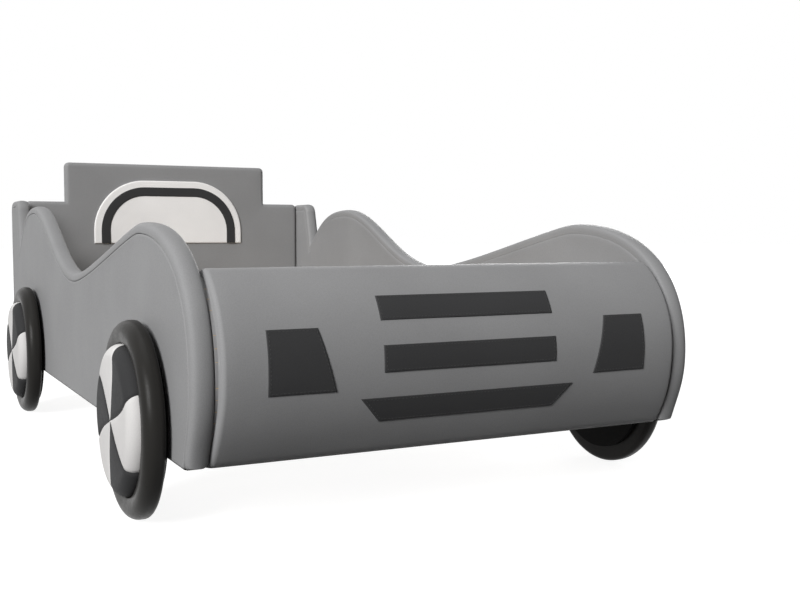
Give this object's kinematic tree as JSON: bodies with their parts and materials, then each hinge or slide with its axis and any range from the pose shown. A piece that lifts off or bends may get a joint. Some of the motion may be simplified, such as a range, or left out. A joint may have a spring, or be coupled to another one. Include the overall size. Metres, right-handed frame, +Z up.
{
  "type": "upholstered car-shaped children's bed",
  "caption": "Padded children's bed shaped like a small car: wavy side panels, bulging front panel, stepped headboard, round padded wheels and a slatted base.",
  "frame": {"origin": "centre of the footprint, on the floor", "axes": "+Z up; the car faces -Y, so the headboard is at +Y; +X is the car's left side"},
  "size_m": [0.994, 1.785, 0.647],
  "materials": {
    "grey_leatherette": "satin",
    "dark_leatherette": "satin",
    "tyre_leatherette": "glossy",
    "light_leatherette": "satin",
    "foam": "matte",
    "plywood": "matte",
    "pine": "matte",
    "zinc_steel": "satin"
  },
  "bodies": {
    "root": {"right_side_board": "plywood", "right_side_outer_pad": "grey_leatherette", "right_side_inner_pad": "grey_leatherette", "right_side_edge_band": "grey_leatherette", "left_side_board": "plywood", "left_side_outer_pad": "grey_leatherette", "left_side_inner_pad": "grey_leatherette", "left_side_edge_band": "grey_leatherette", "headboard_board": "plywood", "headboard_front_pad": "grey_leatherette", "headboard_back_pad": "grey_leatherette", "rear_window_panel": "light_leatherette", "rear_window_stripe": "dark_leatherette", "front_ribs": "plywood", "front_back_board": "plywood", "front_top_batten": "pine", "front_bottom_batten": "pine", "front_bent_skin": "plywood", "front_pad": "grey_leatherette", "front_lining": "grey_leatherette", "grille_bar_top": "dark_leatherette", "grille_bar_middle": "dark_leatherette", "grille_bar_bottom": "dark_leatherette", "headlamp_right": "dark_leatherette", "headlamp_left": "dark_leatherette", "front_right_wheel_disc": "plywood", "front_right_tyre": "tyre_leatherette", "front_right_hub_foam": "foam", "front_right_hub_light_gores": "light_leatherette", "front_right_hub_dark_gores": "dark_leatherette", "front_left_wheel_disc": "plywood", "front_left_tyre": "tyre_leatherette", "front_left_hub_foam": "foam", "front_left_hub_light_gores": "light_leatherette", "front_left_hub_dark_gores": "dark_leatherette", "rear_right_wheel_disc": "plywood", "rear_right_tyre": "tyre_leatherette", "rear_right_hub_foam": "foam", "rear_right_hub_light_gores": "light_leatherette", "rear_right_hub_dark_gores": "dark_leatherette", "rear_left_wheel_disc": "plywood", "rear_left_tyre": "tyre_leatherette", "rear_left_hub_foam": "foam", "rear_left_hub_light_gores": "light_leatherette", "rear_left_hub_dark_gores": "dark_leatherette", "wheel_bolts": "zinc_steel", "wheel_tee_nuts": "zinc_steel", "right_bearer_rail": "pine", "left_bearer_rail": "pine", "head_cleat": "pine", "foot_cleat": "pine", "slats": "pine", "corner_brackets": "zinc_steel", "bracket_screws": "zinc_steel", "rail_screws": "zinc_steel", "cleat_screws": "zinc_steel", "slat_screws": "zinc_steel"}
  },
  "joints": []
}
